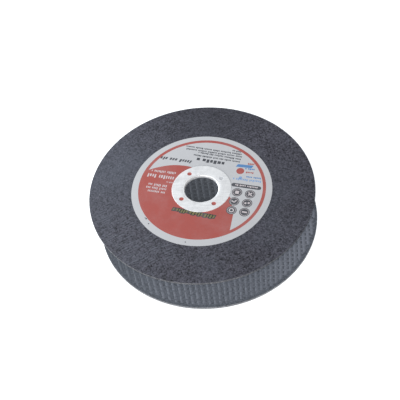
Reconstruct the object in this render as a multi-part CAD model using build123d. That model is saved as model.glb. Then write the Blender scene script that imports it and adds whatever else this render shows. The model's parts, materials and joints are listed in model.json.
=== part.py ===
from build123d import *
import os
from math import hypot, sqrt

# Two thin bonded abrasive cut-off discs, lying flat one on the other.
# The lower disc lies label down, with its reinforced back face up.
# The upper disc lies label up on the lower disc's back face.
# Millimetres, +Z up. The origin is on the lower disc's bore axis, at its lowest face.

# Driving dimensions: the discs and how they lie.
upper_diameter = 107.0
lower_diameter = 100.0
upper_shift_x = -3.2
upper_shift_y = 15.4
resting_gap = 0.05

# Layers of one disc.
core_thickness = 1.1
facing_thickness = 0.1
label_thickness = 0.1
label_radius = 33.4
label_hole_margin = 0.85

# Reinforcing nets of glass yarn, one pressed into each face of the core.
warp_pitch = 2.3
weft_pitch = 2.55
back_warp_turn = 3.0
back_weft_turn = 83.0
front_warp_turn = 30.0
front_weft_turn = 120.0
yarn_width = 0.9
yarn_thickness = 0.12
net_rim_margin = 0.8
net_hub_margin = 0.85
net_clearance = 0.01
yarn_end_clearance = 0.1

# Metal centre ring: a flange on the label, a barrel through the bore and a crimped lip.
bore_radius = 8.0
barrel_wall = 0.3
barrel_clearance = 0.05
flange_width = 6.1
flange_thickness = 0.3
flange_edge_round = 0.1
lip_overhang = 0.6
lip_thickness = 0.2
lip_clearance = 0.05
pip_hole_radius = 1.1
pip_inset = 3.05
pip_count = 4
pip_first_angle = 31.5

# Sizes that follow from the ones above.
net_depth = 2 * yarn_thickness + 2 * net_clearance
facing_top = core_thickness + facing_thickness
label_top = facing_top + label_thickness
disc_height = label_top + flange_thickness
upper_back_height = disc_height + resting_gap
barrel_radius = bore_radius + barrel_wall
core_bore_radius = barrel_radius + barrel_clearance
label_hole_radius = core_bore_radius + label_hole_margin
lip_radius = barrel_radius + lip_overhang
lip_seat_radius = lip_radius + lip_clearance
net_hub_radius = lip_seat_radius + net_hub_margin
flange_radius = bore_radius + flange_width
pip_circle_radius = flange_radius - pip_inset


def annulus(outer_radius, inner_radius, bottom, top):
    """A flat ring about the Z axis between two heights."""
    height = top - bottom
    at_bottom = (Align.CENTER, Align.CENTER, Align.MIN)
    body = Cylinder(outer_radius, height, align=at_bottom)
    body -= Cylinder(inner_radius, height, align=at_bottom)
    return Pos(0, 0, bottom) * body


def make_core(disc_radius):
    """Grit and resin body, with a shallow pocket for a net in each face."""
    pocket_radius = disc_radius - net_rim_margin
    core = annulus(disc_radius, core_bore_radius, 0, core_thickness)
    core -= annulus(pocket_radius, net_hub_radius, 0, net_depth)
    core -= annulus(pocket_radius, net_hub_radius, core_thickness - net_depth, core_thickness)
    core -= annulus(lip_seat_radius, bore_radius, 0, lip_thickness)
    return core


def yarn_spans(offset, outer_radius, inner_radius):
    """The stretches of one yarn between the net's outer edge and its centre hole."""
    far_side = abs(offset) + yarn_width / 2
    near_side = max(abs(offset) - yarn_width / 2, 0)
    if far_side >= outer_radius:
        return []
    outer_end = sqrt(outer_radius**2 - far_side**2)
    if near_side >= inner_radius:
        return [(-outer_end, outer_end)]
    inner_end = sqrt(inner_radius**2 - near_side**2)
    return [(-outer_end, -inner_end), (inner_end, outer_end)]


def make_yarns(disc_radius, bottom, pitch, turn):
    """Parallel flat yarns at one level of a net, as separate solids."""
    outer_radius = disc_radius - net_rim_margin - yarn_end_clearance
    inner_radius = net_hub_radius + yarn_end_clearance
    half_count = int(outer_radius / pitch)
    yarns = []
    for index in range(-half_count, half_count + 1):
        offset = index * pitch
        for start, end in yarn_spans(offset, outer_radius, inner_radius):
            yarn = Box(end - start, yarn_width, yarn_thickness)
            middle = Pos((start + end) / 2, offset, bottom + yarn_thickness / 2)
            yarns.append(Rot(0, 0, turn) * middle * yarn)
    return Compound(children=yarns)


def make_centre_ring():
    """Pressed tinplate ring, turned about the bore and pierced by its small holes."""
    profile = Polyline(
        (bore_radius, 0),
        (lip_radius, 0),
        (lip_radius, lip_thickness),
        (barrel_radius, lip_thickness),
        (barrel_radius, label_top),
        (flange_radius, label_top),
        (flange_radius, disc_height),
        (bore_radius, disc_height),
        close=True,
    )
    ring = revolve(Plane.XZ * make_face(profile), Axis.Z)
    edges = ring.edges().filter_by(GeomType.CIRCLE).group_by(Axis.Z)[-1]
    ring = fillet(edges.sort_by(SortBy.RADIUS)[-1], flange_edge_round)
    pip = Cylinder(pip_hole_radius, 3 * flange_thickness)
    pips = PolarLocations(pip_circle_radius, pip_count, start_angle=pip_first_angle) * pip
    return ring - [Pos(0, 0, disc_height) * hole for hole in pips]


def make_disc(disc_radius):
    """Every piece of one disc, back face at height zero and label side up."""
    back_weft = net_clearance
    back_warp = back_weft + yarn_thickness
    front_warp = core_thickness - net_depth + net_clearance
    front_weft = front_warp + yarn_thickness
    return {
        "core": make_core(disc_radius),
        "back_net_weft": make_yarns(disc_radius, back_weft, weft_pitch, back_weft_turn),
        "back_net_warp": make_yarns(disc_radius, back_warp, warp_pitch, back_warp_turn),
        "front_net_warp": make_yarns(disc_radius, front_warp, warp_pitch, front_warp_turn),
        "front_net_weft": make_yarns(disc_radius, front_weft, weft_pitch, front_weft_turn),
        "front_facing": annulus(disc_radius, core_bore_radius, core_thickness, facing_top),
        "label": annulus(label_radius, label_hole_radius, facing_top, label_top),
        "centre_ring": make_centre_ring(),
    }


def write_disc(name, pieces, place):
    """One STEP file for each piece of a disc, in its place."""
    for piece_name, piece in pieces.items():
        export_step(place * piece, f"parts/{name}_{piece_name}.step")


os.makedirs("parts", exist_ok=True)
upper_place = Pos(upper_shift_x, upper_shift_y, upper_back_height)
lower_place = Pos(0, 0, disc_height) * Rot(180, 0, 0)
write_disc("upper", make_disc(upper_diameter / 2), upper_place)
write_disc("lower", make_disc(lower_diameter / 2), lower_place)
print("discs apart by", round(hypot(upper_shift_x, upper_shift_y), 2), "mm between bore axes")
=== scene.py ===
import json
import math
import random
from types import SimpleNamespace

import bpy
import numpy as np
from mathutils import Matrix, Vector


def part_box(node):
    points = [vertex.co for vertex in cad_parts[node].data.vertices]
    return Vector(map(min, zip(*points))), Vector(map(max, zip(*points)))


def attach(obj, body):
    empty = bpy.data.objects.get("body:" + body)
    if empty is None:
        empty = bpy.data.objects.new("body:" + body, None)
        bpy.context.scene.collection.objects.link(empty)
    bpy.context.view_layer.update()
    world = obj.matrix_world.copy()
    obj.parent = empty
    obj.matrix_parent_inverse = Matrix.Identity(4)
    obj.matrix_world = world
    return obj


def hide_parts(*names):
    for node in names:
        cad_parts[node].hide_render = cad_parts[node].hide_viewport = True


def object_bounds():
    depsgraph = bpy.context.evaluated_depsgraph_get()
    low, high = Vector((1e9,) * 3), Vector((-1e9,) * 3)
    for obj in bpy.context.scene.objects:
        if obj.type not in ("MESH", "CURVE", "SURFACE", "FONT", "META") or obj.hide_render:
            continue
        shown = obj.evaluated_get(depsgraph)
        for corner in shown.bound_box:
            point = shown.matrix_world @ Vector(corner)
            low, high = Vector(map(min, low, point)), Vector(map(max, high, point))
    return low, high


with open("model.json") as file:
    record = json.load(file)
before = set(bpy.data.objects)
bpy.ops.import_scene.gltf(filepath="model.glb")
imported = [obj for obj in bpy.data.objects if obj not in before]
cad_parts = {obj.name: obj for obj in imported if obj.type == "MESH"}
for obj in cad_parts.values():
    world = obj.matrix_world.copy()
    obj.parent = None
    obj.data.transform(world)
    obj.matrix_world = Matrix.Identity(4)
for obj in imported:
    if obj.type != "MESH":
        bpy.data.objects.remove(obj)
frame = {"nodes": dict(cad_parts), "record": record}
cad_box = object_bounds()

# Two thin cut-off discs. Each disc's pieces are made in the disc's own frame: the back face is at
# height zero, the label side is up and the bore axis is at the middle. Each piece's object then
# puts it in place. Sizes are metres, so lengths in the text below are millimetres times MM.
MM = 0.001

# The two directions of glass yarn in the back net, with the pitch and turn of the frame's own net.
# Depth is how far a yarn's middle line lies inside the back face. Where two yarns cross, the one
# is over where the other is under, so their "over" has opposite signs.
WARP = SimpleNamespace(
    kind="warp",
    pitch=2.3 * MM,
    turn=math.radians(3.0),
    width=0.95 * MM,
    depth=0.14 * MM,
    over=1,
    seed=5,
)
WEFT = SimpleNamespace(
    kind="weft",
    pitch=2.55 * MM,
    turn=math.radians(83.0),
    width=1.35 * MM,
    depth=0.105 * MM,
    over=-1,
    seed=6,
)
FRONT_WARP_TURN = math.radians(30.0)
FRONT_WEFT_TURN = math.radians(120.0)
YARN_THICKNESS = 0.15 * MM
YARN_WAVE = 0.025 * MM
YARN_PINCH = 0.12
YARN_END_TAPER = 0.35
YARN_DRIFT = 0.12 * MM
YARN_DRIFT_LENGTH = 14 * MM
YARN_SPREAD = (0.88, 1.08)
SPARE_YARNS = 4
NET_EDGE_MARGIN = 0.25 * MM
NET_HUB_MARGIN = 0.2 * MM
# Resin between the yarns, and the width over which it rises at the net's edges.
RESIN_DEPTH = 0.1 * MM
NET_FADE = 1.0 * MM
# How the net is pulled out of square, in the disc's own frame. Up to NET_BOW_FRONT along Y it is
# spread sideways by NET_BOW for each metre, and beyond it narrowed, and both level off after
# about NET_BOW_REACH. On the +X half it closes up, as if bent round a radius of NET_CLOSING.
NET_BOW = 5.0
NET_BOW_FRONT = 35 * MM
NET_BOW_REACH = 25 * MM
NET_CLOSING = 190 * MM

# Relief of the pressed grit, and how finely the round meshes are divided.
GRIT_RELIEF = 0.045 * MM
RIM_RELIEF = 0.07 * MM
GRIT_STEP = 0.5 * MM
AROUND_GRIT = 660
AROUND_RING = 240
AROUND_LABEL = 360
# Points this close to a face are on it.
TOUCH = 1e-9
TOUCH_RIM = 1e-7

# Large odd numbers that scatter a cell's whole coordinates into a random value.
SCATTER_CELL = np.array([374761393, 668265263, 1440662683])
SCATTER_SEED = 974634777
SCATTER_MIX = 1274126177

# Seeds of the reliefs. The core and the facing share one, so that their rims meet.
RIM_SEED = 11
FACING_SEED = 23
PAPER_SEED = 31
PAPER_EDGE_SEED = 32

# Small holes in the centre ring.
HOLE_COUNT = 4
HOLE_RADIUS = 1.1 * MM
HOLE_CIRCLE = 11.05 * MM
HOLE_FIRST_TURN = math.radians(31.5)
HOLE_SIDES = 40

# Print on the label. Each ink reaches a little way down into the paper and stands just above it.
INK_SUNK = 0.012 * MM
RED_INK_HEIGHT = 0.015 * MM
DARK_INK_HEIGHT = 0.025 * MM
TOP_INK_HEIGHT = 0.035 * MM
GOLD_INK_HEIGHT = TOP_INK_HEIGHT + 0.012 * MM
RED_RING_OUTER = 30.3 * MM
RED_RING_INNER = 28.8 * MM
# How far the print is turned, in degrees, and shifted off the bore's axis.
PRINT_TURN = -14.0
PRINT_SHIFT = (-0.14 * MM, -0.5 * MM)
# Blocks of a row of small print: their sizes for a row one unit high, and how many make a word.
BLOCK_WIDTHS = (0.85, 1.3)
BLOCK_HEIGHTS = (0.72, 0.78, 1.0)
BLOCKS_TO_GAP = (3, 8)


# ---------------------------------------------------------------- sizes from the frame

def radial_range(node, centre):
    """Smallest and largest distance of a CAD node's corners from a disc's axis."""
    radii = [math.hypot(v.co.x - centre.x, v.co.y - centre.y) for v in frame["nodes"][node].data.vertices]
    return min(radii), max(radii)


def measure_disc(name):
    """Sizes of one disc in its own frame, and the matrix that puts it in place."""
    mounts = {mount["name"]: mount for mount in frame["record"]["mounts"]}
    centre = Vector(mounts[name + "_bore"]["pos_m"])
    core_low, core_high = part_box(name + "_core")
    facing_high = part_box(name + "_front_facing")[1]
    label_up = facing_high.z > core_high.z
    back = core_low.z if label_up else core_high.z

    def reach(node):
        low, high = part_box(name + "_" + node)
        return (high.z - back) if label_up else (back - low.z)

    flip = Matrix.Identity(4) if label_up else Matrix.Rotation(math.pi, 4, "X")
    core_bore, radius = radial_range(name + "_core", centre)
    label_hole, label_radius = radial_range(name + "_label", centre)
    bore, flange_radius = radial_range(name + "_centre_ring", centre)
    net_hub, net_radius = radial_range(name + "_back_net_warp", centre)
    return SimpleNamespace(
        name=name,
        body=name + "_disc",
        place=Matrix.Translation((centre.x, centre.y, back)) @ flip,
        radius=radius,
        core_bore=core_bore,
        core_top=reach("core"),
        facing_top=reach("front_facing"),
        label_top=reach("label"),
        ring_top=reach("centre_ring"),
        label_hole=label_hole,
        label_radius=label_radius,
        bore=bore,
        flange_radius=flange_radius,
        net_hub=net_hub,
        net_radius=net_radius,
    )


# ---------------------------------------------------------------- mesh helpers

def value_noise(points, cell, seed):
    """Smooth random values from 0 to 1 at points, with features of about one cell."""
    scaled = points / cell
    low = np.floor(scaled).astype(np.int64)
    part = scaled - low
    part = part * part * (3 - 2 * part)
    total = np.zeros(len(points))
    for corner in np.ndindex(2, 2, 2):
        cell_index = low + corner
        mixed = cell_index @ SCATTER_CELL + seed * SCATTER_SEED
        mixed = (mixed ^ (mixed >> 13)) * SCATTER_MIX
        mixed = (mixed ^ (mixed >> 16)) & 0xFFFF
        weight = np.prod(np.where(corner, part, 1 - part), axis=1)
        total += weight * mixed / 0xFFFF
    return total


def grit(points, seed):
    """Relief of pressed grit: single grains on a slightly uneven bed, from 0 to 1."""
    grains = value_noise(points, 0.55 * MM, seed)
    bed = value_noise(points, 2.4 * MM, seed + 1)
    return 0.7 * grains + 0.3 * bed


def stretch(start, end, step):
    """Evenly spaced profile points from start up to, but not including, end."""
    count = max(1, round(math.dist(start, end) / step))
    return [tuple(np.array(start) + (np.array(end) - start) * k / count) for k in range(count)]


def arc(centre_r, centre_z, size_r, size_z, first, last, count):
    """Profile points on an arc or ellipse between two angles in degrees, ends included."""
    angles = [math.radians(first + (last - first) * k / count) for k in range(count + 1)]
    return [(centre_r + size_r * math.cos(a), centre_z + size_z * math.sin(a)) for a in angles]


def mesh_from(name, points, faces, smooth_angle):
    """A mesh with smooth faces and sharp edges where they turn by more than an angle."""
    mesh = bpy.data.meshes.new(name)
    mesh.from_pydata([tuple(p) for p in points], [], [tuple(int(k) for k in f) for f in faces])
    mesh.validate()
    mesh.polygons.foreach_set("use_smooth", [True] * len(mesh.polygons))
    mesh.set_sharp_from_angle(angle=math.radians(smooth_angle))
    return mesh


def turned_mesh(name, profile, around, relief=None, smooth_angle=35.0):
    """A closed solid of revolution about the bore axis from a closed (radius, height) profile."""
    turns = np.linspace(0, 2 * math.pi, around, endpoint=False)
    rings = np.array([[(r * math.cos(a), r * math.sin(a), z) for a in turns] for r, z in profile])
    points = rings.reshape(-1, 3)
    if relief:
        points = relief(points)
    faces = []
    for row in range(len(profile)):
        here = row * around
        there = (row + 1) % len(profile) * around
        for k in range(around):
            after = (k + 1) % around
            faces.append((here + k, here + after, there + after, there + k))
    return mesh_from(name, points, faces, smooth_angle)


def add_piece(name, mesh, disc, material, replaced=()):
    """Puts a mesh made in a disc's own frame in place, on the disc's body."""
    piece = bpy.data.objects.new(disc.name + "_" + name, mesh)
    bpy.context.scene.collection.objects.link(piece)
    piece.matrix_world = disc.place
    mesh.materials.append(material)
    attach(piece, disc.body)
    if replaced:
        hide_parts(*[disc.name + "_" + node for node in replaced])
    return piece


# ---------------------------------------------------------------- abrasive body

def resin_level(radius_here, disc):
    """Depth of the resin between the yarns: it rises over the net near the rim and the hub."""
    to_rim = disc.net_radius - radius_here
    to_hub = radius_here - disc.net_hub
    near = np.clip(np.minimum(to_rim / NET_FADE, to_hub / (0.4 * NET_FADE)), 0, 1)
    return RESIN_DEPTH * near * near * (3 - 2 * near)


def make_core(disc):
    """Grit body: rim, back face with the net's bed, and the seat of the crimped lip."""
    lip_seat = 8.95 * MM
    lip_depth = 0.2 * MM
    edge = 0.08 * MM
    top = disc.core_top
    profile = [(disc.core_bore, top), (disc.core_bore, lip_depth)]
    profile += [(lip_seat, lip_depth), (lip_seat, 0)]
    profile += stretch((lip_seat + 0.2 * MM, 0), (disc.radius - edge, 0), GRIT_STEP)
    profile += [(disc.radius - edge, 0), (disc.radius, edge)]
    profile += stretch((disc.radius, 0.3 * MM), (disc.radius, top), 0.2 * MM)
    profile += [(disc.radius, top), (disc.radius - 2 * MM, top)]

    def relief(points):
        radius_here = np.hypot(points[:, 0], points[:, 1])
        on_back = (points[:, 2] < TOUCH) & (radius_here > lip_seat)
        on_rim = radius_here > disc.radius - TOUCH_RIM
        rough = grit(points, RIM_SEED)
        points[:, 2] += on_back * (resin_level(radius_here, disc) + GRIT_RELIEF * rough)
        inward = 1 - on_rim * RIM_RELIEF * rough / radius_here
        points[:, :2] *= inward[:, None]
        return points

    mesh = turned_mesh(disc.name + "_core_grit", profile, AROUND_GRIT, relief)
    return add_piece("core_grit", mesh, disc, MATERIALS.core, ["core"])


def net_telegraph(points):
    """How much the hidden front net shows through the facing, from 0 to 1."""
    waves = 0
    for turn, pitch in ((FRONT_WARP_TURN, WARP.pitch), (FRONT_WEFT_TURN, WEFT.pitch)):
        across = points[:, 1] * math.cos(turn) - points[:, 0] * math.sin(turn)
        waves = waves + np.cos(2 * math.pi * across / pitch)
    return 0.5 + 0.25 * waves


def make_facing(disc):
    """Fine-grained skin on the label side."""
    low, top = disc.core_top, disc.facing_top
    edge = 0.05 * MM
    under_label = disc.label_radius - 1 * MM
    profile = [(disc.core_bore, low), (disc.radius, low)]
    profile += [(disc.radius, top - edge), (disc.radius - edge, top)]
    profile += stretch((disc.radius - GRIT_STEP, top), (under_label, top), 0.9 * GRIT_STEP)
    profile += stretch((under_label, top), (disc.core_bore, top), 6 * MM)
    profile += [(disc.core_bore, top)]

    def relief(points):
        radius_here = np.hypot(points[:, 0], points[:, 1])
        bare = (points[:, 2] > top - TOUCH) & (radius_here > under_label)
        rough = 0.8 * grit(points, FACING_SEED) + 0.2 * net_telegraph(points)
        points[:, 2] -= bare * GRIT_RELIEF * (1 - rough)
        on_rim = radius_here > disc.radius - TOUCH_RIM
        inward = 1 - on_rim * RIM_RELIEF * grit(points, RIM_SEED) / radius_here
        points[:, :2] *= inward[:, None]
        return points

    mesh = turned_mesh(disc.name + "_facing_skin", profile, AROUND_GRIT, relief)
    return add_piece("facing_skin", mesh, disc, MATERIALS.facing, ["front_facing"])


# ---------------------------------------------------------------- nets

def bowed(points):
    """Pulls straight yarns out of square: they fan out to one side and lie closer at the right."""
    points = points.copy()
    reach = NET_BOW_REACH * np.tanh((NET_BOW_FRONT - points[:, 1]) / NET_BOW_REACH)
    points[:, 0] += NET_BOW * points[:, 0] * reach
    points[:, 0] -= np.clip(points[:, 0], 0, None) ** 2 / (2 * NET_CLOSING)
    return points


def yarn_runs(middles, disc):
    """The runs of a yarn's centre points between the net's outer edge and its centre hole."""
    radii = np.hypot(middles[:, 0], middles[:, 1])
    inside = (radii < disc.net_radius - NET_EDGE_MARGIN) & (radii > disc.net_hub + NET_HUB_MARGIN)
    edges = np.flatnonzero(np.diff(np.concatenate([[0], inside.astype(int), [0]])))
    return [(first, last) for first, last in zip(edges[::2], edges[1::2]) if last - first > 2]


def add_yarn(points, faces, middles, half_widths, heights, across):
    """Adds one run of yarn: a flat oval section along a line, thinner at both closed ends."""
    section = [math.radians(a) for a in range(0, 360, 45)]
    first, around, count = len(points), len(section), len(middles)
    for k in range(count):
        taper = YARN_END_TAPER if k in (0, count - 1) else 1.0
        for a in section:
            place = middles[k] + across * (half_widths[k] * taper * math.cos(a))
            height = heights[k] + YARN_THICKNESS / 2 * taper * math.sin(a)
            points.append((place[0], place[1], height))
    for k in range(count - 1):
        here, there = first + k * around, first + (k + 1) * around
        for m in range(around):
            after = (m + 1) % around
            faces.append((here + m, here + after, there + after, there + m))
    last = first + (count - 1) * around
    faces.append(tuple(range(first + around - 1, first - 1, -1)))
    faces.append(tuple(range(last, last + around)))


def make_net(disc, yarn, other):
    """One direction of the back net: flat wavy yarns that go over and under the other ones."""
    along = np.array([math.cos(yarn.turn), math.sin(yarn.turn)])
    across = np.array([-along[1], along[0]])
    other_across = np.array([-math.sin(other.turn), math.cos(other.turn)])
    points, faces = [], []
    count = int(disc.net_radius / yarn.pitch) + SPARE_YARNS
    far = disc.net_radius + 8 * MM
    places = np.arange(-far, far, other.pitch / 4)
    uneven = random.Random(yarn.seed)
    for index in range(-count, count + 1):
        drift = uneven.uniform(-YARN_DRIFT, YARN_DRIFT)
        phase = uneven.uniform(0, 2 * math.pi)
        loose = uneven.uniform(*YARN_SPREAD)
        side = index * yarn.pitch + drift * np.sin(phase + places / YARN_DRIFT_LENGTH)
        straight = places[:, None] * along + side[:, None] * across
        crossing = straight @ other_across / other.pitch
        lift = yarn.over * YARN_WAVE * np.cos(math.pi * (crossing + index))
        half_width = yarn.width * loose / 2 * (1 - YARN_PINCH * np.cos(2 * math.pi * crossing))
        middles = bowed(straight)
        for start, end in yarn_runs(middles, disc):
            run = slice(start, end)
            add_yarn(points, faces, middles[run], half_width[run], yarn.depth - lift[run], across)
    mesh = mesh_from(disc.name + "_back_" + yarn.kind, points, faces, 70)
    material = getattr(MATERIALS, yarn.kind)
    return add_piece("back_" + yarn.kind, mesh, disc, material, ["back_net_" + yarn.kind])


# ---------------------------------------------------------------- centre ring

def make_ring(disc):
    """Pressed tinplate ring: flange with a rolled bore mouth, barrel and crimped lip."""
    gauge = 0.26 * MM
    roll = 0.6 * MM
    edge = 0.09 * MM
    foot = 0.12 * MM
    groove_width, groove_depth = 0.3 * MM, 0.035 * MM
    top = disc.ring_top
    bore, outer = disc.bore, disc.flange_radius
    crease = bore + roll
    barrel = bore + gauge
    lip = bore + 0.9 * MM
    profile = [(crease + groove_width, top), (crease + 0.12 * MM, top - groove_depth)]
    profile += arc(crease, top - roll, roll, roll - 0.01 * MM, 90, 180, 10)
    profile += stretch((bore, top - roll - 0.1 * MM), (bore, foot), 0.3 * MM)
    profile += arc(bore + foot, foot, foot, foot, 180, 270, 3)
    profile += [(lip - 0.05 * MM, 0.0), (lip, 0.06 * MM)]
    profile += [(lip - 0.02 * MM, 0.17 * MM), (barrel + 0.1 * MM, 0.19 * MM)]
    profile += [(barrel, 0.3 * MM), (barrel, top - roll - gauge)]
    profile += [(crease, top - gauge - 0.02 * MM)]
    profile += [(outer - edge, top - gauge), (outer, top - gauge + edge)]
    profile += arc(outer - edge, top - edge, edge, edge, 0, 90, 6)
    profile += stretch((outer - 0.4 * MM, top), (crease + groove_width, top), 1.2 * MM)
    mesh = turned_mesh(disc.name + "_flange_ring", profile[::-1], AROUND_RING, smooth_angle=30)
    ring = add_piece("flange_ring", mesh, disc, MATERIALS.tinplate, ["centre_ring"])
    pierce(ring, disc)
    return ring


def pierce(ring, disc):
    """Cuts the four small round holes through the flange."""
    cutter_mesh = bpy.data.meshes.new("hole_cutter")
    points, faces = [], []
    for k in range(HOLE_COUNT):
        turn = HOLE_FIRST_TURN + k * 2 * math.pi / HOLE_COUNT
        middle = Vector((math.cos(turn), math.sin(turn))) * HOLE_CIRCLE
        low = len(points)
        high = low + HOLE_SIDES
        for height in (disc.label_top - 0.05 * MM, disc.ring_top + 0.2 * MM):
            for m in range(HOLE_SIDES):
                a = 2 * math.pi * m / HOLE_SIDES
                x = middle.x + HOLE_RADIUS * math.cos(a)
                y = middle.y + HOLE_RADIUS * math.sin(a)
                points.append((x, y, height))
        for m in range(HOLE_SIDES):
            after = (m + 1) % HOLE_SIDES
            faces.append((low + m, low + after, high + after, high + m))
        faces.append(tuple(range(high - 1, low - 1, -1)))
        faces.append(tuple(range(high, high + HOLE_SIDES)))
    cutter_mesh.from_pydata(points, [], faces)
    cutter = bpy.data.objects.new("hole_cutter", cutter_mesh)
    bpy.context.scene.collection.objects.link(cutter)
    cutter.matrix_world = disc.place
    bpy.context.view_layer.update()
    cut = ring.modifiers.new("holes", "BOOLEAN")
    cut.operation, cut.solver, cut.object = "DIFFERENCE", "EXACT", cutter
    apply_modifiers(ring, 20)
    bpy.data.objects.remove(cutter)


def apply_modifiers(piece, smooth_angle):
    """Makes the shape that the modifiers give the piece's own mesh."""
    graph = bpy.context.evaluated_depsgraph_get()
    made = bpy.data.meshes.new_from_object(piece.evaluated_get(graph))
    piece.modifiers.clear()
    made.name = piece.data.name
    made.polygons.foreach_set("use_smooth", [True] * len(made.polygons))
    made.set_sharp_from_angle(angle=math.radians(smooth_angle))
    piece.data = made


# ---------------------------------------------------------------- label and its print

def make_label(disc):
    """Paper ring with a soft edge and slight waves from the surface under it."""
    low, top = disc.facing_top, disc.label_top
    edge, wave, fray = 0.04 * MM, 0.01 * MM, 0.08 * MM
    inner, outer = disc.label_hole, disc.label_radius
    profile = [(inner, low), (outer, low), (outer, top - edge), (outer - edge, top)]
    profile += stretch((outer - 0.3 * MM, top), (inner, top), 1.0 * MM)
    profile += [(inner, top)]

    def relief(points):
        radius_here = np.hypot(points[:, 0], points[:, 1])
        on_top = (points[:, 2] > top - TOUCH) & (radius_here > inner + 0.1 * MM)
        points[:, 2] -= on_top * wave * value_noise(points, 2.5 * MM, PAPER_SEED)
        on_edge = radius_here > outer - TOUCH_RIM
        ragged = fray * value_noise(points, 0.8 * MM, PAPER_EDGE_SEED)
        inward = 1 - on_edge * ragged / radius_here
        points[:, :2] *= inward[:, None]
        return points

    mesh = turned_mesh(disc.name + "_label_paper", profile, AROUND_LABEL, relief)
    return add_piece("label_paper", mesh, disc, MATERIALS.paper, ["label"])


class Print:
    """Collects flat printed shapes of one ink. Shapes are drawn the way the label reads upright."""

    def __init__(self, disc, height):
        self.disc = disc
        self.low = disc.label_top - INK_SUNK
        self.high = disc.label_top + height
        self.points = []
        self.faces = []

    def shape(self, outline):
        """One flat closed shape from (across, up) corners in metres, moved to the print's place."""
        first, size = len(self.points), len(outline)
        for height in (self.low, self.high):
            self.points += [(-u - PRINT_SHIFT[0], -v - PRINT_SHIFT[1], height) for u, v in outline]
        self.faces.append(tuple(range(first + size - 1, first - 1, -1)))
        self.faces.append(tuple(range(first + size, first + 2 * size)))
        for k in range(size):
            after = (k + 1) % size
            self.faces.append((first + k, first + after, first + size + after, first + size + k))

    def bar(self, centre, length, height, turn, slant=0.0):
        """A bar about its centre, turned by an angle in degrees and slanted like italics."""
        cosine, sine = math.cos(math.radians(turn)), math.sin(math.radians(turn))
        outline = []
        for right, up in ((-0.5, -0.5), (0.5, -0.5), (0.5, 0.5), (-0.5, 0.5)):
            y = height * up
            x = length * right + slant * y
            outline.append((centre[0] + x * cosine - y * sine, centre[1] + x * sine + y * cosine))
        self.shape(outline)

    def spot(self, centre, radius, sides=28):
        """A round spot."""
        turns = [2 * math.pi * k / sides for k in range(sides)]
        u, v = centre
        self.shape([(u + radius * math.cos(a), v + radius * math.sin(a)) for a in turns])

    def band(self, centre, outer, inner, sides):
        """A round band, made of short pieces."""
        u, v = centre
        turns = np.radians(np.linspace(0.0, 360.0, sides + 1))
        for a, b in zip(turns[:-1], turns[1:]):
            corners = ((inner, a), (outer, a), (outer, b), (inner, b))
            self.shape([(u + r * math.cos(t), v + r * math.sin(t)) for r, t in corners])

    def row(
        self, start, end, height, seed, slant=0.0, bold=0.5, grow=0.0, gap=0.22, word_gap=0.7
    ):
        """A row of plain blocks between two points, spaced like words. It spells nothing."""
        blocks = random.Random(seed)
        length = math.dist(start, end)
        turn = math.degrees(math.atan2(end[1] - start[1], end[0] - start[0]))
        along = ((end[0] - start[0]) / length, (end[1] - start[1]) / length)
        across = (-along[1], along[0])
        place, until_gap = 0.0, blocks.randint(*BLOCKS_TO_GAP)
        while place < length - 0.3 * height:
            width = height * blocks.uniform(*BLOCK_WIDTHS) * bold
            tall = height * blocks.choice(BLOCK_HEIGHTS)
            middle = place + width / 2
            lift = (tall - height) / 2
            u = start[0] + along[0] * middle + across[0] * lift
            v = start[1] + along[1] * middle + across[1] * lift
            self.bar((u, v), width + grow, tall + grow, turn, slant)
            until_gap -= 1
            place += width + height * (gap if until_gap else word_gap)
            if not until_gap:
                until_gap = blocks.randint(*BLOCKS_TO_GAP)

    def finish(self, name, material):
        """Makes the ink layer a piece of the disc."""
        mesh = mesh_from(self.disc.name + "_" + name, self.points, self.faces, 20)
        return add_piece(name, mesh, self.disc, material)


def mm_points(*pairs):
    """Points given in millimetres, in metres."""
    return [(u * MM, v * MM) for u, v in pairs]


def curve_through(points):
    """A smooth line through a few points (Catmull-Rom)."""
    steps = 6
    points = [np.array(p) for p in points]
    ends = [2 * points[0] - points[1], *points, 2 * points[-1] - points[-2]]
    line = []
    for a, b, c, d in zip(ends, ends[1:], ends[2:], ends[3:]):
        for k in range(steps):
            t = k / steps
            curve = (2 * a - 5 * b + 4 * c - d) * t**2 + (3 * b - a - 3 * c + d) * t**3
            line.append(0.5 * (2 * b + (c - a) * t + curve))
    line.append(points[-1])
    return [tuple(p) for p in line]


def arc_between(start, end, radius):
    """Points on a circle about the bore from one point's direction to another's, anticlockwise."""
    first = math.atan2(start[1], start[0])
    last = math.atan2(end[1], end[0])
    last += 2 * math.pi * (last < first)
    count = max(2, round((last - first) / math.radians(4)))
    turns = [first + (last - first) * k / count for k in range(count + 1)]
    return [(radius * math.cos(a), radius * math.sin(a)) for a in turns]


def print_red(disc):
    """Red ring near the label's edge and the large red field with two curved sides."""
    ink = Print(disc, RED_INK_HEIGHT)
    ink.band((0, 0), RED_RING_OUTER, RED_RING_INNER, sides=120)
    under_flange = disc.label_hole + 0.5 * MM
    left_side = curve_through(mm_points(
        (-12.83, 25.78), (-14.0, 19.5), (-14.5, 16.0), (-14.0, 11.0), (-13.0, 6.0), (-8.9, 3.9)
    ))
    low_side = curve_through(mm_points(
        (3.4, -9.1), (5.0, -13.25), (11.5, -15.0), (16.5, -15.1), (21.5, -14.25), (25.71, -12.98)
    ))
    outer = arc_between(low_side[-1], left_side[0], RED_RING_INNER)
    inner = arc_between(low_side[0], left_side[-1], under_flange)
    ink.shape(low_side + outer[1:-1] + left_side + inner[-2:0:-1])
    return ink.finish("red_print", MATERIALS.red_ink)


ICON_PLACES = mm_points(
    (-19.75, 15.65), (-13.75, 14.15), (-21.1, 10.4), (-15.1, 9.0), (-22.65, 5.15), (-16.6, 3.6)
)
ICON_RADIUS = 2.45 * MM
ICON_RING_OUTER = 2.05 * MM
ICON_RING_INNER = 1.85 * MM


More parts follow.
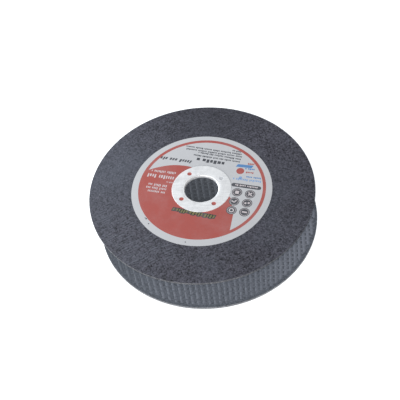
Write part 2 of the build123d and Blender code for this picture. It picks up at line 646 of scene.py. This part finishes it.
def rounded_bar(ink, centre, length, height, turn):
    """A bar with round ends, turned by an angle in degrees."""
    reach = Vector((math.cos(math.radians(turn)), math.sin(math.radians(turn)))) * length / 2
    ends = [Vector(centre) + reach, Vector(centre) - reach]
    outline = []
    for end, first in zip(ends, (-90.0, 90.0)):
        outline += arc(end.x, end.y, height / 2, height / 2, turn + first, turn + first + 180, 10)
    ink.shape(outline)


def print_dark(disc):
    """Dark print: six round icons, a rounded bar, a heading, a caption, small rows and specks."""
    ink = Print(disc, DARK_INK_HEIGHT)
    for place in ICON_PLACES:
        ink.spot(place, ICON_RADIUS)
    rounded_bar(ink, (-21.0 * MM, 0.3 * MM), 12.2 * MM, 2.1 * MM, PRINT_TURN)
    ink.row(*mm_points((-10.75, -14.4), (3.4, -18.5)), 2.1 * MM, seed=41, bold=0.62)
    rows = [
        ((-18.25, -15.0), (4.25, -21.25)),
        ((-18.75, -16.6), (1.75, -22.6)),
        ((-19.3, -18.2), (8.0, -25.5)),
        ((-19.2, -19.8), (8.0, -27.2)),
        ((-19.0, -21.3), (-15.0, -22.6)),
    ]
    for number, (start, end) in enumerate(rows):
        ink.row(*mm_points(start, end), 0.95 * MM, seed=50 + number, bold=0.45)
    ink.row(*mm_points((5.25, -16.6), (20.0, -20.4)), 1.9 * MM, seed=47, slant=0.3, bold=0.42)
    specks = ((24.6, 19.8, 0.3), (25.8, 16.9, 0.4), (26.3, 16.3, 0.25), (7.4, 31.3, 0.3))
    for u, v, radius in specks:
        ink.spot((u * MM, v * MM), radius * MM, 10)
    return ink.finish("dark_print", MATERIALS.dark_ink)


def print_white(disc):
    """White print on the red field and on the dark shapes."""
    ink = Print(disc, TOP_INK_HEIGHT)
    rows = [
        ((17.6, 2.0), (27.0, -0.3), 1.4),
        ((17.0, 0.0), (26.8, -2.4), 1.4),
        ((16.75, -2.0), (26.4, -4.4), 1.4),
        ((14.0, -4.0), (17.25, -4.8), 0.8),
        ((13.5, -6.6), (27.2, -10.1), 2.2),
        ((12.6, -9.9), (24.4, -12.4), 1.4),
    ]
    for number, (start, end, height) in enumerate(rows):
        ink.row(*mm_points(start, end), height * MM, seed=70 + number, bold=0.27)
    ink.row(*mm_points((-26.3, 1.6), (-15.9, -1.0)), 0.95 * MM, seed=81, bold=0.55)
    for number, place in enumerate(ICON_PLACES):
        ink.band(place, ICON_RING_OUTER, ICON_RING_INNER, sides=30)
        draw_icon(ink, number, place)
    return ink.finish("white_print", MATERIALS.white_ink)


def draw_icon(ink, number, place):
    """A plain geometric sign: bar, ring, two spots, chevron, stepped bar or square."""
    u, v = place
    if number == 0:
        ink.bar(place, 2.4 * MM, 0.8 * MM, PRINT_TURN)
    elif number == 1:
        ink.band(place, 1.25 * MM, 0.7 * MM, sides=24)
    elif number == 2:
        for step in (-0.75, 0.75):
            ink.spot((u + step * MM, v), 0.55 * MM, 16)
    elif number == 3:
        ink.bar((u - 0.5 * MM, v), 1.7 * MM, 0.6 * MM, 45)
        ink.bar((u + 0.55 * MM, v), 1.7 * MM, 0.6 * MM, -45)
    elif number == 4:
        ink.bar(place, 2.3 * MM, 0.65 * MM, 31)
        ink.bar((u - 0.45 * MM, v + 0.75 * MM), 0.85 * MM, 0.65 * MM, -59)
        ink.bar((u + 0.45 * MM, v - 0.75 * MM), 0.85 * MM, 0.65 * MM, -59)
    else:
        ink.bar(place, 1.8 * MM, 1.8 * MM, PRINT_TURN)


def print_gold(disc):
    """Word-like row of gold blocks with dark edges on the red field."""
    start, end = mm_points((-5.9, 17.9), (13.9, 11.9))
    layers = (
        ("gold_edge_print", MATERIALS.dark_ink, TOP_INK_HEIGHT, 0.75 * MM),
        ("gold_print", MATERIALS.gold_ink, GOLD_INK_HEIGHT, -0.1 * MM),
    )
    for name, material, height, grow in layers:
        ink = Print(disc, height)
        ink.row(
            start, end, 2.0 * MM, seed=90, slant=0.15, bold=0.45, grow=grow, gap=0.16, word_gap=0.4
        )
        ink.finish(name, material)


def print_colours(disc):
    """Small blue and red print: two rows, and a red spot and a slanted bar beside short rows."""
    pale = Print(disc, RED_INK_HEIGHT)
    pale.row(*mm_points((-28.0, -2.0), (-14.9, -4.9)), 1.3 * MM, seed=95, bold=0.4)
    pale.spot((-18.4 * MM, -5.2 * MM), 0.8 * MM, 20)
    pale.finish("pale_blue_print", MATERIALS.pale_blue_ink)
    blue = Print(disc, RED_INK_HEIGHT)
    blue.row(*mm_points((-28.0, -4.0), (-21.2, -5.5)), 1.0 * MM, seed=96, bold=0.5)
    blue.row(*mm_points((-25.2, -9.7), (-20.9, -10.6)), 1.0 * MM, seed=97, bold=0.55)
    blue.bar((-20.6 * MM, -12.3 * MM), 7.6 * MM, 1.7 * MM, -12, 0.5)
    blue.finish("blue_print", MATERIALS.blue_ink)
    red = Print(disc, RED_INK_HEIGHT)
    red.spot((-18.4 * MM, -9.4 * MM), 1.9 * MM)
    red.row(*mm_points((-24.6, -7.6), (-20.6, -8.5)), 1.0 * MM, seed=99, bold=0.55)
    red.row(*mm_points((-25.2, -13.0), (-21.2, -13.9)), 1.0 * MM, seed=100, bold=0.55)
    red.finish("small_red_print", MATERIALS.red_ink)


# ---------------------------------------------------------------- shared node groups

def new_group(name, inputs, outputs):
    """A shader node group with named sockets. Each input is (kind, name, default)."""
    group = bpy.data.node_groups.new(name, "ShaderNodeTree")
    for kind, label, default in inputs:
        socket = group.interface.new_socket(label, in_out="INPUT", socket_type=kind)
        socket.default_value = default
    for kind, label in outputs:
        group.interface.new_socket(label, in_out="OUTPUT", socket_type=kind)
    build = Builder(group)
    build.given = build.node("NodeGroupInput")
    build.result = build.node("NodeGroupOutput")
    return group, build


class Builder:
    """Short ways to add and join shader nodes."""

    def __init__(self, tree):
        self.tree = tree

    def node(self, kind, **settings):
        """Adds a node of a kind, with its settings."""
        made = self.tree.nodes.new(kind)
        for key, value in settings.items():
            setattr(made, key, value)
        return made

    def join(self, source, target):
        """Joins an output to an input."""
        self.tree.links.new(source, target)

    def put(self, socket, value):
        """Joins an output to a socket, or sets the socket's own value."""
        if isinstance(value, bpy.types.NodeSocket):
            self.join(value, socket)
        else:
            socket.default_value = value

    def maths(self, operation, a, b=0.0, clamp=False):
        """One sum or other operation on two values, with its answer kept within 0 to 1 if clamped."""
        made = self.node("ShaderNodeMath", operation=operation, use_clamp=clamp)
        self.put(made.inputs[0], a)
        self.put(made.inputs[1], b)
        return made.outputs[0]

    def times(self, a, b, clamp=False):
        return self.maths("MULTIPLY", a, b, clamp)

    def plus(self, a, b, clamp=False):
        return self.maths("ADD", a, b, clamp)

    def spread(self, value, low, high, new_low=0.0, new_high=1.0):
        """Moves a value from the range low..high to new_low..new_high, clamped."""
        made = self.node("ShaderNodeMapRange")
        for label, x in (("From Min", low), ("From Max", high), ("To Min", new_low), ("To Max", new_high)):
            self.put(made.inputs[label], x)
        self.put(made.inputs["Value"], value)
        return made.outputs[0]

    def mix(self, amount, a, b, blend="MIX"):
        """Colour a, changed to colour b by an amount from 0 to 1."""
        made = self.node("ShaderNodeMix", data_type="RGBA", blend_type=blend)
        self.put(made.inputs[0], amount)
        self.put(made.inputs[6], a)
        self.put(made.inputs[7], b)
        return made.outputs[2]

    def noise(self, where, scale, detail=3.0, roughness=0.5):
        """Soft random values with a number of features to the metre."""
        made = self.node("ShaderNodeTexNoise")
        self.put(made.inputs["Vector"], where)
        self.put(made.inputs["Scale"], scale)
        self.put(made.inputs["Detail"], detail)
        self.put(made.inputs["Roughness"], roughness)
        return made.outputs[0]

    def place(self, stretch_by=(1, 1, 1), turn=0.0):
        """The disc's own coordinates, in metres, stretched and turned about the bore."""
        mapping = self.node("ShaderNodeMapping")
        self.join(self.own_place(), mapping.inputs["Vector"])
        mapping.inputs["Rotation"].default_value = (0, 0, turn)
        mapping.inputs["Scale"].default_value = stretch_by
        return mapping.outputs[0]

    def own_place(self):
        """The disc's own coordinates, in metres."""
        return self.node("ShaderNodeTexCoord").outputs["Object"]

    def from_axis(self, centre=(0, 0, 0)):
        """Distance from an upright line through a point of the disc, or from the bore's axis."""
        apart = self.node("ShaderNodeVectorMath", operation="DISTANCE")
        self.join(self.place((1, 1, 0)), apart.inputs[0])
        apart.inputs[1].default_value = centre
        return apart.outputs["Value"]


def grit_group():
    """Pressed abrasive grains in resin: colour with painted glints, height and roughness."""
    group, build = new_group(
        "pressed_grit",
        [
            ("NodeSocketColor", "Dark", (0, 0, 0, 1)),
            ("NodeSocketColor", "Light", (1, 1, 1, 1)),
            ("NodeSocketFloat", "Grain Size", 0.6),
            ("NodeSocketFloat", "Flecks", 0.1),
        ],
        [("NodeSocketColor", "Color"), ("NodeSocketFloat", "Height"), ("NodeSocketFloat", "Roughness")],
    )
    painted_glint_colour = (0.42, 0.43, 0.46, 1)
    given, result = build.given.outputs, build.result.inputs
    where = build.own_place()
    scale = build.maths("DIVIDE", 1 / MM, given["Grain Size"])
    cells = build.node("ShaderNodeTexVoronoi", feature="F1")
    build.join(where, cells.inputs["Vector"])
    build.join(scale, cells.inputs["Scale"])
    cell_tone = build.node("ShaderNodeSeparateColor")
    build.join(cells.outputs["Color"], cell_tone.inputs[0])
    soft = build.noise(where, build.times(scale, 0.8), 3.0, 0.6)
    tone = build.plus(build.times(cell_tone.outputs[0], 0.55), soft)
    base = build.mix(build.spread(tone, 0.42, 1.12), given["Dark"], given["Light"])
    # Sparse pale flecks are painted glints of the grains.
    bright = build.spread(cell_tone.outputs[1], 0.94, 1.0)
    bright = build.times(bright, given["Flecks"], clamp=True)
    build.join(build.mix(bright, base, painted_glint_colour), result["Color"])
    height = build.plus(build.times(cells.outputs["Distance"], -0.6), soft)
    build.join(height, result["Height"])
    build.join(build.spread(soft, 0.3, 0.7, 0.5, 0.74), result["Roughness"])
    return group


def net_marks_group():
    """Fine parallel marks that a net under the surface leaves, along its two directions, broken up."""
    group, build = new_group(
        "net_marks",
        [("NodeSocketFloat", "Spacing", 1.2), ("NodeSocketFloat", "Cross Amount", 0.4)],
        [("NodeSocketFloat", "Mask")],
    )
    spacing = build.given.outputs["Spacing"]
    where = build.own_place()
    masks = []
    for turn in (FRONT_WARP_TURN, FRONT_WEFT_TURN):
        turned = build.node("ShaderNodeVectorRotate", rotation_type="Z_AXIS")
        build.join(where, turned.inputs["Vector"])
        turned.inputs["Angle"].default_value = -turn
        parts = build.node("ShaderNodeSeparateXYZ")
        build.join(turned.outputs[0], parts.inputs[0])
        wander = build.times(build.noise(turned.outputs[0], 90.0, 2.0), 2.2)
        place = build.maths("DIVIDE", build.maths("DIVIDE", parts.outputs[1], MM), spacing)
        wave = build.maths("SINE", build.times(build.plus(place, wander), 2 * math.pi))
        stretched = build.node("ShaderNodeMapping")
        build.join(turned.outputs[0], stretched.inputs["Vector"])
        stretched.inputs["Scale"].default_value = (180, 620, 180)
        broken = build.noise(stretched.outputs[0], 1.0, 2.0)
        masks.append(build.times(build.spread(wave, -0.2, 1.0), build.spread(broken, 0.42, 0.62)))
    crossed = build.times(masks[1], build.given.outputs["Cross Amount"])
    build.join(build.maths("MAXIMUM", masks[0], crossed), build.result.inputs["Mask"])
    return group


def handling_group():
    """Faint uneven dust and rubbing over a whole surface, as a mask."""
    group, build = new_group(
        "handling_dust",
        [("NodeSocketFloat", "Patch Size", 20.0), ("NodeSocketFloat", "Amount", 0.3)],
        [("NodeSocketFloat", "Mask")],
    )
    where = build.own_place()
    scale = build.maths("DIVIDE", 1 / MM, build.given.outputs["Patch Size"])
    clouds = build.noise(where, scale, 4.0, 0.6)
    fine = build.noise(where, build.times(scale, 9.0), 2.0, 0.5)
    mask = build.times(build.spread(clouds, 0.42, 0.68), build.spread(fine, 0.3, 0.7, 0.6, 1.0))
    mask = build.times(mask, build.given.outputs["Amount"], clamp=True)
    build.join(mask, build.result.inputs["Mask"])
    return group


def paper_group():
    """Coated paper or ink on it: fine fibres, specks, slight unevenness."""
    group, build = new_group(
        "printed_paper",
        [("NodeSocketColor", "Tint", (1, 1, 1, 1)), ("NodeSocketFloat", "Mottle", 0.1)],
        [("NodeSocketColor", "Color"), ("NodeSocketFloat", "Height"), ("NodeSocketFloat", "Roughness")],
    )
    shaded, speck_colour = (0.72, 0.72, 0.74, 1), (0.10, 0.11, 0.12, 1)
    given, result = build.given.outputs, build.result.inputs
    where = build.own_place()
    fibres = build.noise(where, 1800.0, 3.0, 0.6)
    cloud = build.noise(where, 160.0, 4.0, 0.6)
    shade = build.plus(build.times(fibres, 0.5), build.times(cloud, 0.5))
    shade = build.times(build.spread(shade, 0.35, 0.65), given["Mottle"])
    darker = build.mix(1.0, given["Tint"], shaded, "MULTIPLY")
    colour = build.mix(shade, given["Tint"], darker)
    specks = build.node("ShaderNodeTexVoronoi", feature="F1")
    build.join(where, specks.inputs["Vector"])
    specks.inputs["Scale"].default_value = 260.0
    chosen = build.node("ShaderNodeSeparateColor")
    build.join(specks.outputs["Color"], chosen.inputs[0])
    near = build.spread(specks.outputs["Distance"], 0.10, 0.05)
    speck = build.times(near, build.maths("GREATER_THAN", chosen.outputs[0], 0.93))
    colour = build.mix(build.times(speck, 0.6), colour, speck_colour)
    build.join(colour, result["Color"])
    build.join(build.times(fibres, 0.6), result["Height"])
    build.join(build.spread(cloud, 0.3, 0.7, 0.38, 0.52), result["Roughness"])
    return group


# ---------------------------------------------------------------- materials

def new_material(name):
    """A material with a Principled shader, and a builder for its nodes."""
    material = bpy.data.materials.new(name)
    material.use_nodes = True
    build = Builder(material.node_tree)
    shader = material.node_tree.nodes["Principled BSDF"]
    return material, build, shader


def use_group(build, group, **values):
    """A node that runs a shared group with this material's own values."""
    made = build.node("ShaderNodeGroup", node_tree=group)
    for label, value in values.items():
        build.put(made.inputs[label.replace("_", " ")], value)
    return made


def bump(build, height, shader, strength, distance):
    """Turns a height into the shader's normal."""
    made = build.node("ShaderNodeBump")
    made.inputs["Strength"].default_value = strength
    made.inputs["Distance"].default_value = distance
    build.join(height, made.inputs["Height"])
    build.join(made.outputs[0], shader.inputs["Normal"])


def side_walls(build):
    """Mask of the walls that face sideways: the cut rim and the bore."""
    parts = build.node("ShaderNodeSeparateXYZ")
    build.join(build.node("ShaderNodeTexCoord").outputs["Normal"], parts.inputs[0])
    return build.spread(build.maths("ABSOLUTE", parts.outputs[2]), 0.75, 0.45)


def cut_rim(build, face):
    """A face's colour, with paler cut grit on the walls that face sideways."""
    dark, light = (0.078, 0.079, 0.086, 1), (0.22, 0.225, 0.242, 1)
    rim = use_group(build, GROUPS.grit, Dark=dark, Light=light, Grain_Size=0.5, Flecks=0.3)
    return build.mix(side_walls(build), face, rim.outputs["Color"])


def painted_bore_shade(build):
    """Mask of painted shade over the middle of the back face, darkest within 26 mm of the bore's axis and
    gone by 33 mm.
    """
    return build.spread(build.from_axis(), 26 * MM, 33 * MM, 0.8, 0.0)


def round_patch(build, centre_mm, full_mm, end_mm, inside, outside=0.0):
    """Mask that changes softly from one value near a centre to another away from it."""
    centre = (centre_mm[0] * MM, centre_mm[1] * MM, 0)
    return build.spread(build.from_axis(centre), full_mm * MM, end_mm * MM, inside, outside)


def core_material():
    """Grit between the yarns of the back net, with a paler cut rim and painted shade round the middle."""
    dark, light = (0.036, 0.040, 0.050, 1), (0.102, 0.113, 0.138, 1)
    dust, painted_shade_colour = (0.13, 0.14, 0.165, 1), (0.018, 0.020, 0.025, 1)
    material, build, shader = new_material("core_grit")
    grains = use_group(build, GROUPS.grit, Dark=dark, Light=light, Grain_Size=0.5, Flecks=0.10)
    handled = use_group(build, GROUPS.handling, Patch_Size=22.0, Amount=0.25)
    face = build.mix(handled.outputs["Mask"], grains.outputs["Color"], dust)
    # Painted shade darkens the middle of the back face.
    face = build.mix(painted_bore_shade(build), face, painted_shade_colour)
    build.join(cut_rim(build, face), shader.inputs["Base Color"])
    build.join(grains.outputs["Roughness"], shader.inputs["Roughness"])
    shader.inputs["Specular IOR Level"].default_value = 0.35
    bump(build, grains.outputs["Height"], shader, 0.8, 0.05 * MM)
    return material


def facing_material():
    """Dark fine grit with faint marks of the net under it, uneven dust, painted sheen at the left, painted
    shade at the back and right, and a dark border.
    """
    dark, light = (0.004, 0.004, 0.007, 1), (0.104, 0.101, 0.129, 1)
    glass, trough, dust = (0.135, 0.145, 0.178, 1), (0.004, 0.004, 0.006, 1), (0.108, 0.120, 0.152, 1)
    painted_shade_colour, glue = (0.028, 0.029, 0.037, 1), (0.020, 0.020, 0.025, 1)
    material, build, shader = new_material("facing_grit")
    grains = use_group(build, GROUPS.grit, Dark=dark, Light=light, Grain_Size=0.62, Flecks=0.15)
    marks = use_group(build, GROUPS.net_marks, Spacing=1.25, Cross_Amount=0.35)
    handled = use_group(build, GROUPS.handling, Patch_Size=24.0, Amount=0.8)

    # Yarns show as pale lines, made paler at the front left by painted sheen, and the gaps between them as
    # dark ones, most at the front right.
    sheen_on_marks = round_patch(build, (-30, -26), 12, 28, 0.7, 0.08)
    colour = build.mix(build.times(marks.outputs["Mask"], sheen_on_marks), grains.outputs["Color"], glass)
    bared = round_patch(build, (20, -40), 8, 22, 0.14, 0.06)
    gaps = build.maths("SUBTRACT", 1.0, marks.outputs["Mask"], True)
    colour = build.mix(build.times(gaps, bared), colour, trough)

    # Dust lies all over, and the paler patch at the left is painted sheen.
    dust_and_sheen = build.times(handled.outputs["Mask"], 0.35)
    dust_and_sheen = build.plus(dust_and_sheen, round_patch(build, (-44, 14), 6, 38, 0.28), True)
    colour = build.mix(dust_and_sheen, colour, dust)

    # Painted shade makes the grit darker and more even at the back, and a little darker at the right.
    painted_shade_patches = round_patch(build, (4, 50), 10, 34, 0.42)
    painted_shade_patches = build.plus(painted_shade_patches, round_patch(build, (50, -4), 14, 36, 0.17))
    colour = build.mix(painted_shade_patches, colour, painted_shade_colour)

    border = build.spread(build.from_axis(), 34.2 * MM, 36.5 * MM, 0.08, 0.0)
    colour = build.mix(border, colour, glue)
    build.join(cut_rim(build, colour), shader.inputs["Base Color"])
    build.join(grains.outputs["Roughness"], shader.inputs["Roughness"])
    shader.inputs["Specular IOR Level"].default_value = 0.3
    yarns = build.times(marks.outputs["Mask"], 0.4)
    bump(build, build.plus(grains.outputs["Height"], yarns), shader, 0.8, 0.05 * MM)
    return material


def yarn_material(name, sunk):
    """Glass yarn wet through with resin, paler than the grit. To the left it is sunk in resin, to the right
    clean. Painted shade darkens it round the middle.
    """
    dark, light = (0.063, 0.068, 0.086, 1), (0.136, 0.146, 0.176, 1)
    fibre, bare_glass = (0.15, 0.163, 0.195, 1), (0.20, 0.21, 0.25, 1)
    resin, painted_shade_colour = (0.062, 0.070, 0.088, 1), (0.030, 0.034, 0.042, 1)
    material, build, shader = new_material(name)
    grains = use_group(build, GROUPS.grit, Dark=dark, Light=light, Grain_Size=0.5, Flecks=0.10)

    # Fine streaks along the fibres, broken up by streaks across them.
    along_warp = build.noise(build.place((60, 2500, 500), -WARP.turn), 1.0, 2.0)
    along_weft = build.noise(build.place((60, 2500, 500), -WEFT.turn), 1.0, 2.0)
    streaks = build.times(along_warp, along_weft)
    colour = build.mix(build.spread(streaks, 0.15, 0.4, 0.0, 0.45), grains.outputs["Color"], fibre)

    # How clean or sunk the yarn is depends on how far to the right it lies.
    parts = build.node("ShaderNodeSeparateXYZ")
    build.join(build.place(), parts.inputs[0])
    across = parts.outputs[0]
    clean = build.spread(across, 22 * MM, 44 * MM, 0.0, 0.35)
    covered = build.spread(across, 2 * MM, 32 * MM, sunk, 0.0)
    covered_edge = build.spread(across, -38 * MM, -20 * MM, 0.88, 0.0)
    colour = build.mix(clean, colour, bare_glass)
    colour = build.mix(build.maths("MAXIMUM", covered, covered_edge), colour, resin)
    # Painted shade darkens the yarns round the middle.
    colour = build.mix(painted_bore_shade(build), colour, painted_shade_colour)
    build.join(colour, shader.inputs["Base Color"])
    build.join(build.spread(streaks, 0.1, 0.4, 0.62, 0.42), shader.inputs["Roughness"])
    height = build.plus(grains.outputs["Height"], streaks)
    bump(build, height, shader, 0.5, 0.03 * MM)
    return material


def paper_material(name, tint, mottle):
    """Label paper, or one flat ink printed on it."""
    dust = (0.5, 0.5, 0.52, 1)
    material, build, shader = new_material(name)
    paper = use_group(build, GROUPS.paper, Tint=tint, Mottle=mottle)
    handled = use_group(build, GROUPS.handling, Patch_Size=9.0, Amount=0.10)
    colour = build.mix(handled.outputs["Mask"], paper.outputs["Color"], dust)
    build.join(colour, shader.inputs["Base Color"])
    build.join(paper.outputs["Roughness"], shader.inputs["Roughness"])
    shader.inputs["Specular IOR Level"].default_value = 0.35
    bump(build, paper.outputs["Height"], shader, 0.15, 0.01 * MM)
    return material


def tinplate_material():
    """Bright tin-coated steel with fine rolling marks and handling scratches."""
    dull, bright, scratched = (0.82, 0.82, 0.835, 1), (0.97, 0.97, 0.98, 1), (0.5, 0.5, 0.52, 1)
    material, build, shader = new_material("tinplate")
    rolled = build.noise(build.place((150, 5200, 900), math.radians(12)), 1.0, 3.0)
    clouds = build.noise(build.place(), 420.0, 3.0)
    scratches = build.noise(build.place((4000, 120, 500), math.radians(-35)), 1.0, 2.0)
    line = build.spread(scratches, 0.66, 0.72)
    tone = build.plus(build.times(rolled, 0.6), build.times(clouds, 0.4))
    colour = build.mix(build.spread(tone, 0.35, 0.65), dull, bright)
    colour = build.mix(build.times(line, 0.35), colour, scratched)
    build.join(colour, shader.inputs["Base Color"])
    shader.inputs["Metallic"].default_value = 0.55
    build.join(build.spread(tone, 0.3, 0.7, 0.42, 0.58), shader.inputs["Roughness"])
    bump(build, build.maths("SUBTRACT", rolled, line), shader, 0.2, 0.01 * MM)
    return material


def floor_material():
    """Plain pale studio floor."""
    material, build, shader = new_material("studio_floor")
    cloud = build.noise(build.own_place(), 3.0)
    colour = build.mix(cloud, (0.93, 0.93, 0.93, 1), (0.95, 0.95, 0.95, 1))
    build.join(colour, shader.inputs["Base Color"])
    shader.inputs["Roughness"].default_value = 0.9
    shader.inputs["Emission Color"].default_value = (1, 1, 1, 1)
    shader.inputs["Emission Strength"].default_value = 0.45
    return material


GROUPS = SimpleNamespace(
    grit=grit_group(), net_marks=net_marks_group(), handling=handling_group(), paper=paper_group()
)
MATERIALS = SimpleNamespace(
    core=core_material(),
    facing=facing_material(),
    warp=yarn_material("warp_yarn", 0.6),
    weft=yarn_material("weft_yarn", 0.0),
    paper=paper_material("label_paper", (0.54, 0.54, 0.555, 1), 0.3),
    red_ink=paper_material("red_ink", (0.40, 0.093, 0.079, 1), 0.3),
    dark_ink=paper_material("dark_ink", (0.068, 0.070, 0.082, 1), 0.3),
    white_ink=paper_material("white_ink", (0.60, 0.54, 0.55, 1), 0.2),
    gold_ink=paper_material("gold_ink", (0.19, 0.17, 0.07, 1), 0.3),
    blue_ink=paper_material("blue_ink", (0.09, 0.23, 0.48, 1), 0.3),
    pale_blue_ink=paper_material("pale_blue_ink", (0.24, 0.37, 0.60, 1), 0.3),
    tinplate=tinplate_material(),
)


# ---------------------------------------------------------------- the two discs

def make_disc(name):
    """Every visible piece of one disc. Its front nets are shut inside and stay as they are."""
    disc = measure_disc(name)
    make_core(disc)
    make_facing(disc)
    make_net(disc, WARP, WEFT)
    make_net(disc, WEFT, WARP)
    make_ring(disc)
    make_label(disc)
    print_red(disc)
    print_dark(disc)
    print_white(disc)
    print_gold(disc)
    print_colours(disc)
    for yarn in (WARP, WEFT):
        cad_net = frame["nodes"][name + "_front_net_" + yarn.kind]
        cad_net.data.materials.clear()
        cad_net.data.materials.append(getattr(MATERIALS, yarn.kind))


make_disc("upper")
make_disc("lower")


# ---------------------------------------------------------------- floor, light and camera

def make_floor():
    """A wide pale floor just under the lowest face."""
    reach = 3.0
    low = cad_box[0].z - 0.01 * MM
    corners = [(x * reach, y * reach, low) for x, y in ((-1, -1), (1, -1), (1, 1), (-1, 1))]
    mesh = bpy.data.meshes.new("floor")
    mesh.from_pydata(corners, [], [(0, 1, 2, 3)])
    floor = bpy.data.objects.new("floor", mesh)
    mesh.materials.append(floor_material())
    bpy.context.scene.collection.objects.link(floor)


def add_softbox(name, place, target, size, power, colour=(1, 1, 1), shadow=True):
    """A large square light that faces a point."""
    data = bpy.data.lights.new(name, "AREA")
    data.shape, data.size, data.energy, data.color = "SQUARE", size, power, colour
    light = bpy.data.objects.new(name, data)
    bpy.context.scene.collection.objects.link(light)
    light.location = place
    data.use_shadow = shadow
    light.rotation_euler = (Vector(target) - Vector(place)).to_track_quat("-Z", "Y").to_euler()


def add_camera():
    """The camera looks down at the discs from the front, turned slightly about its own axis."""
    aim = Vector((-3.965 * MM, 9.451 * MM, 2.0 * MM))
    distance = 458.66 * MM
    azimuth, elevation, roll = math.radians(5.785), math.radians(50.921), math.radians(-7.151)
    back = Vector((
        math.sin(azimuth) * math.cos(elevation),
        -math.cos(azimuth) * math.cos(elevation),
        math.sin(elevation),
    ))
    data = bpy.data.cameras.new("camera")
    data.lens, data.sensor_width = 88.0, 36.0
    data.clip_start, data.clip_end = 0.01, 20.0
    camera = bpy.data.objects.new("camera", data)
    bpy.context.scene.collection.objects.link(camera)
    turn = (-back).to_track_quat("-Z", "Y").to_matrix().to_4x4()
    camera.matrix_world = Matrix.Translation(aim + back * distance) @ turn @ Matrix.Rotation(roll, 4, "Z")
    bpy.context.scene.camera = camera


def light_room():
    """Even white surroundings with two soft lights: at the left back, and at the front left."""
    world = bpy.data.worlds.new("studio")
    world.use_nodes = True
    background = world.node_tree.nodes["Background"]
    background.inputs["Color"].default_value = (1.0, 1.0, 1.0, 1)
    background.inputs["Strength"].default_value = 0.4
    bpy.context.scene.world = world
    bpy.context.scene.view_settings.view_transform = "Standard"
    cool = (0.88, 0.95, 1.0)
    add_softbox("left_back_softbox", (-0.38, 0.25, 0.20), (-0.01, 0.01, 0), 0.25, 3.0, cool, False)
    add_softbox("front_softbox", (-0.25, -0.7, 0.28), (0, 0, 0), 0.4, 5.0)


make_floor()
light_room()
add_camera()
